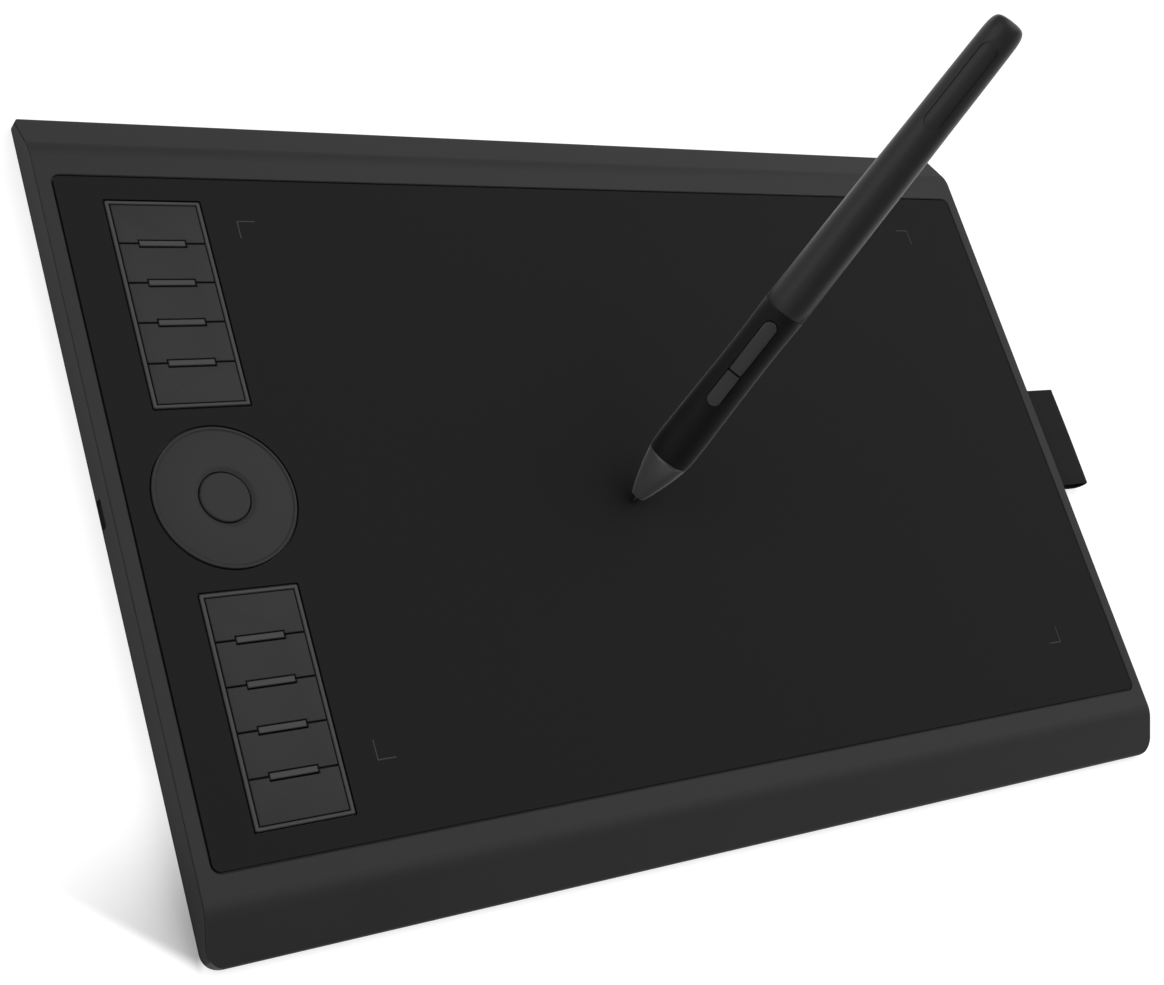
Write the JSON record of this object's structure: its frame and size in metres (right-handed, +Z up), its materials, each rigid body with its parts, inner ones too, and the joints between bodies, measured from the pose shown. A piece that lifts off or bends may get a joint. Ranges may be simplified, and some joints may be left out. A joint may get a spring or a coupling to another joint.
{
  "type": "graphics tablet",
  "caption": "Flat drawing tablet with a textured work surface, press keys and a touch ring at one end, a fabric pen loop at the other, and its side-button pen.",
  "frame": {"origin": "centre of the middle rubber foot's underside, on the desk under the middle of the case", "axes": "+X along the long side from the keys to the pen loop, +Y to the back edge, +Z up"},
  "size_m": [0.3808, 0.242, 0.161],
  "materials": {
    "case": "fine matt moulded, dark grey",
    "surface": "finely textured sheet, near black, with thin pale corner marks",
    "key_frame": "satin moulded, dark grey with a pale rim",
    "keys": "satin moulded, dark grey",
    "ring": "satin moulded, dark grey",
    "ring_button": "satin moulded, dark grey",
    "feet": "matt black",
    "screws": "black",
    "socket": "folded sheet steel, plated",
    "socket_tongue": "black",
    "webbing": "flat woven webbing, near black",
    "board": "green solder mask",
    "shield": "thin rolled sheet",
    "chips": "black moulded",
    "switches": "black moulded with metal domes",
    "ribbon": "amber film",
    "inner_plastic": "black moulded",
    "pen_body": "satin moulded, dark grey",
    "pen_nose": "satin moulded, dark grey",
    "pen_grip": "soft touch, near black",
    "pen_buttons": "satin moulded, dark grey",
    "nib": "hard plastic, near black",
    "ferrite": "sintered, dark grey",
    "coil": "enamelled copper wire",
    "sensor_metal": "plain can"
  },
  "bodies": {
    "tablet": {"top_cover": "case", "bottom_cover": "case", "left_end_cap": "case", "right_end_cap": "case", "rubber_feet": "feet", "case_screws": "screws", "work_surface": "surface", "key_frame_upper": "key_frame", "key_frame_lower": "key_frame", "touch_ring": "ring", "ring_board": "board", "key_board": "board", "key_switches": "switches", "button_switch": "switches", "usb_socket": "socket", "usb_tongue": "socket_tongue", "sensor_board": "board", "shield_plate": "shield", "main_board": "board", "main_board_chips": "chips", "key_ribbon": "ribbon", "sensor_ribbon": "ribbon", "pen_loop": "webbing", "loop_clamp": "inner_plastic"},
    "key_1": {"key_1": "keys"},
    "key_2": {"key_2": "keys"},
    "key_3": {"key_3": "keys"},
    "key_4": {"key_4": "keys"},
    "key_5": {"key_5": "keys"},
    "key_6": {"key_6": "keys"},
    "key_7": {"key_7": "keys"},
    "key_8": {"key_8": "keys"},
    "key_9": {"key_9": "keys"},
    "key_10": {"key_10": "keys"},
    "ring_button": {"ring_button": "ring_button"},
    "pen": {"pen_nose": "pen_nose", "pen_grip": "pen_grip", "pen_barrel": "pen_body", "pen_ferrite": "ferrite", "pen_coil": "coil", "pen_chassis": "inner_plastic", "pressure_sensor": "sensor_metal", "pen_board": "board", "pen_switches": "switches"},
    "nib": {"pen_nib": "nib"},
    "pen_button_front": {"pen_button_front": "pen_buttons"},
    "pen_button_rear": {"pen_button_rear": "pen_buttons"}
  },
  "joints": [
    {"name": "key_1_press", "type": "slide", "parent": "tablet", "child": "key_1", "axis": [0, 0, -1], "range_m": [0, 0.0004], "stiffness_N_per_m": 800, "springref_m": -0.0006},
    {"name": "key_2_press", "type": "slide", "parent": "tablet", "child": "key_2", "axis": [0, 0, -1], "range_m": [0, 0.0004], "stiffness_N_per_m": 800, "springref_m": -0.0006},
    {"name": "key_3_press", "type": "slide", "parent": "tablet", "child": "key_3", "axis": [0, 0, -1], "range_m": [0, 0.0004], "stiffness_N_per_m": 800, "springref_m": -0.0006},
    {"name": "key_4_press", "type": "slide", "parent": "tablet", "child": "key_4", "axis": [0, 0, -1], "range_m": [0, 0.0004], "stiffness_N_per_m": 800, "springref_m": -0.0006},
    {"name": "key_5_press", "type": "slide", "parent": "tablet", "child": "key_5", "axis": [0, 0, -1], "range_m": [0, 0.0004], "stiffness_N_per_m": 800, "springref_m": -0.0006},
    {"name": "key_6_press", "type": "slide", "parent": "tablet", "child": "key_6", "axis": [0, 0, -1], "range_m": [0, 0.0004], "stiffness_N_per_m": 800, "springref_m": -0.0006},
    {"name": "key_7_press", "type": "slide", "parent": "tablet", "child": "key_7", "axis": [0, 0, -1], "range_m": [0, 0.0004], "stiffness_N_per_m": 800, "springref_m": -0.0006},
    {"name": "key_8_press", "type": "slide", "parent": "tablet", "child": "key_8", "axis": [0, 0, -1], "range_m": [0, 0.0004], "stiffness_N_per_m": 800, "springref_m": -0.0006},
    {"name": "key_9_press", "type": "slide", "parent": "tablet", "child": "key_9", "axis": [0, 0, -1], "range_m": [0, 0.0004], "stiffness_N_per_m": 800, "springref_m": -0.0006},
    {"name": "key_10_press", "type": "slide", "parent": "tablet", "child": "key_10", "axis": [0, 0, -1], "range_m": [0, 0.0004], "stiffness_N_per_m": 800, "springref_m": -0.0006},
    {"name": "ring_button_press", "type": "slide", "parent": "tablet", "child": "ring_button", "axis": [0, 0, -1], "range_m": [0, 0.0004], "stiffness_N_per_m": 900, "springref_m": -0.0006},
    {"name": "pen_lift", "type": "slide", "parent": "tablet", "child": "pen", "axis": [0.3398, 0.4349, 0.8339], "range_m": [0, 0.15]},
    {"name": "nib_press", "type": "slide", "parent": "pen", "child": "nib", "axis": [0.3398, 0.4349, 0.8339], "range_m": [0, 0.0004], "stiffness_N_per_m": 3000, "springref_m": -0.0003},
    {"name": "pen_button_front_press", "type": "slide", "parent": "pen", "child": "pen_button_front", "axis": [0.7419, 0.421, -0.5219], "range_m": [0, 0.0003], "stiffness_N_per_m": 1500, "springref_m": -0.0006},
    {"name": "pen_button_rear_press", "type": "slide", "parent": "pen", "child": "pen_button_rear", "axis": [0.7419, 0.421, -0.5219], "range_m": [0, 0.0003], "stiffness_N_per_m": 1500, "springref_m": -0.0006}
  ]
}
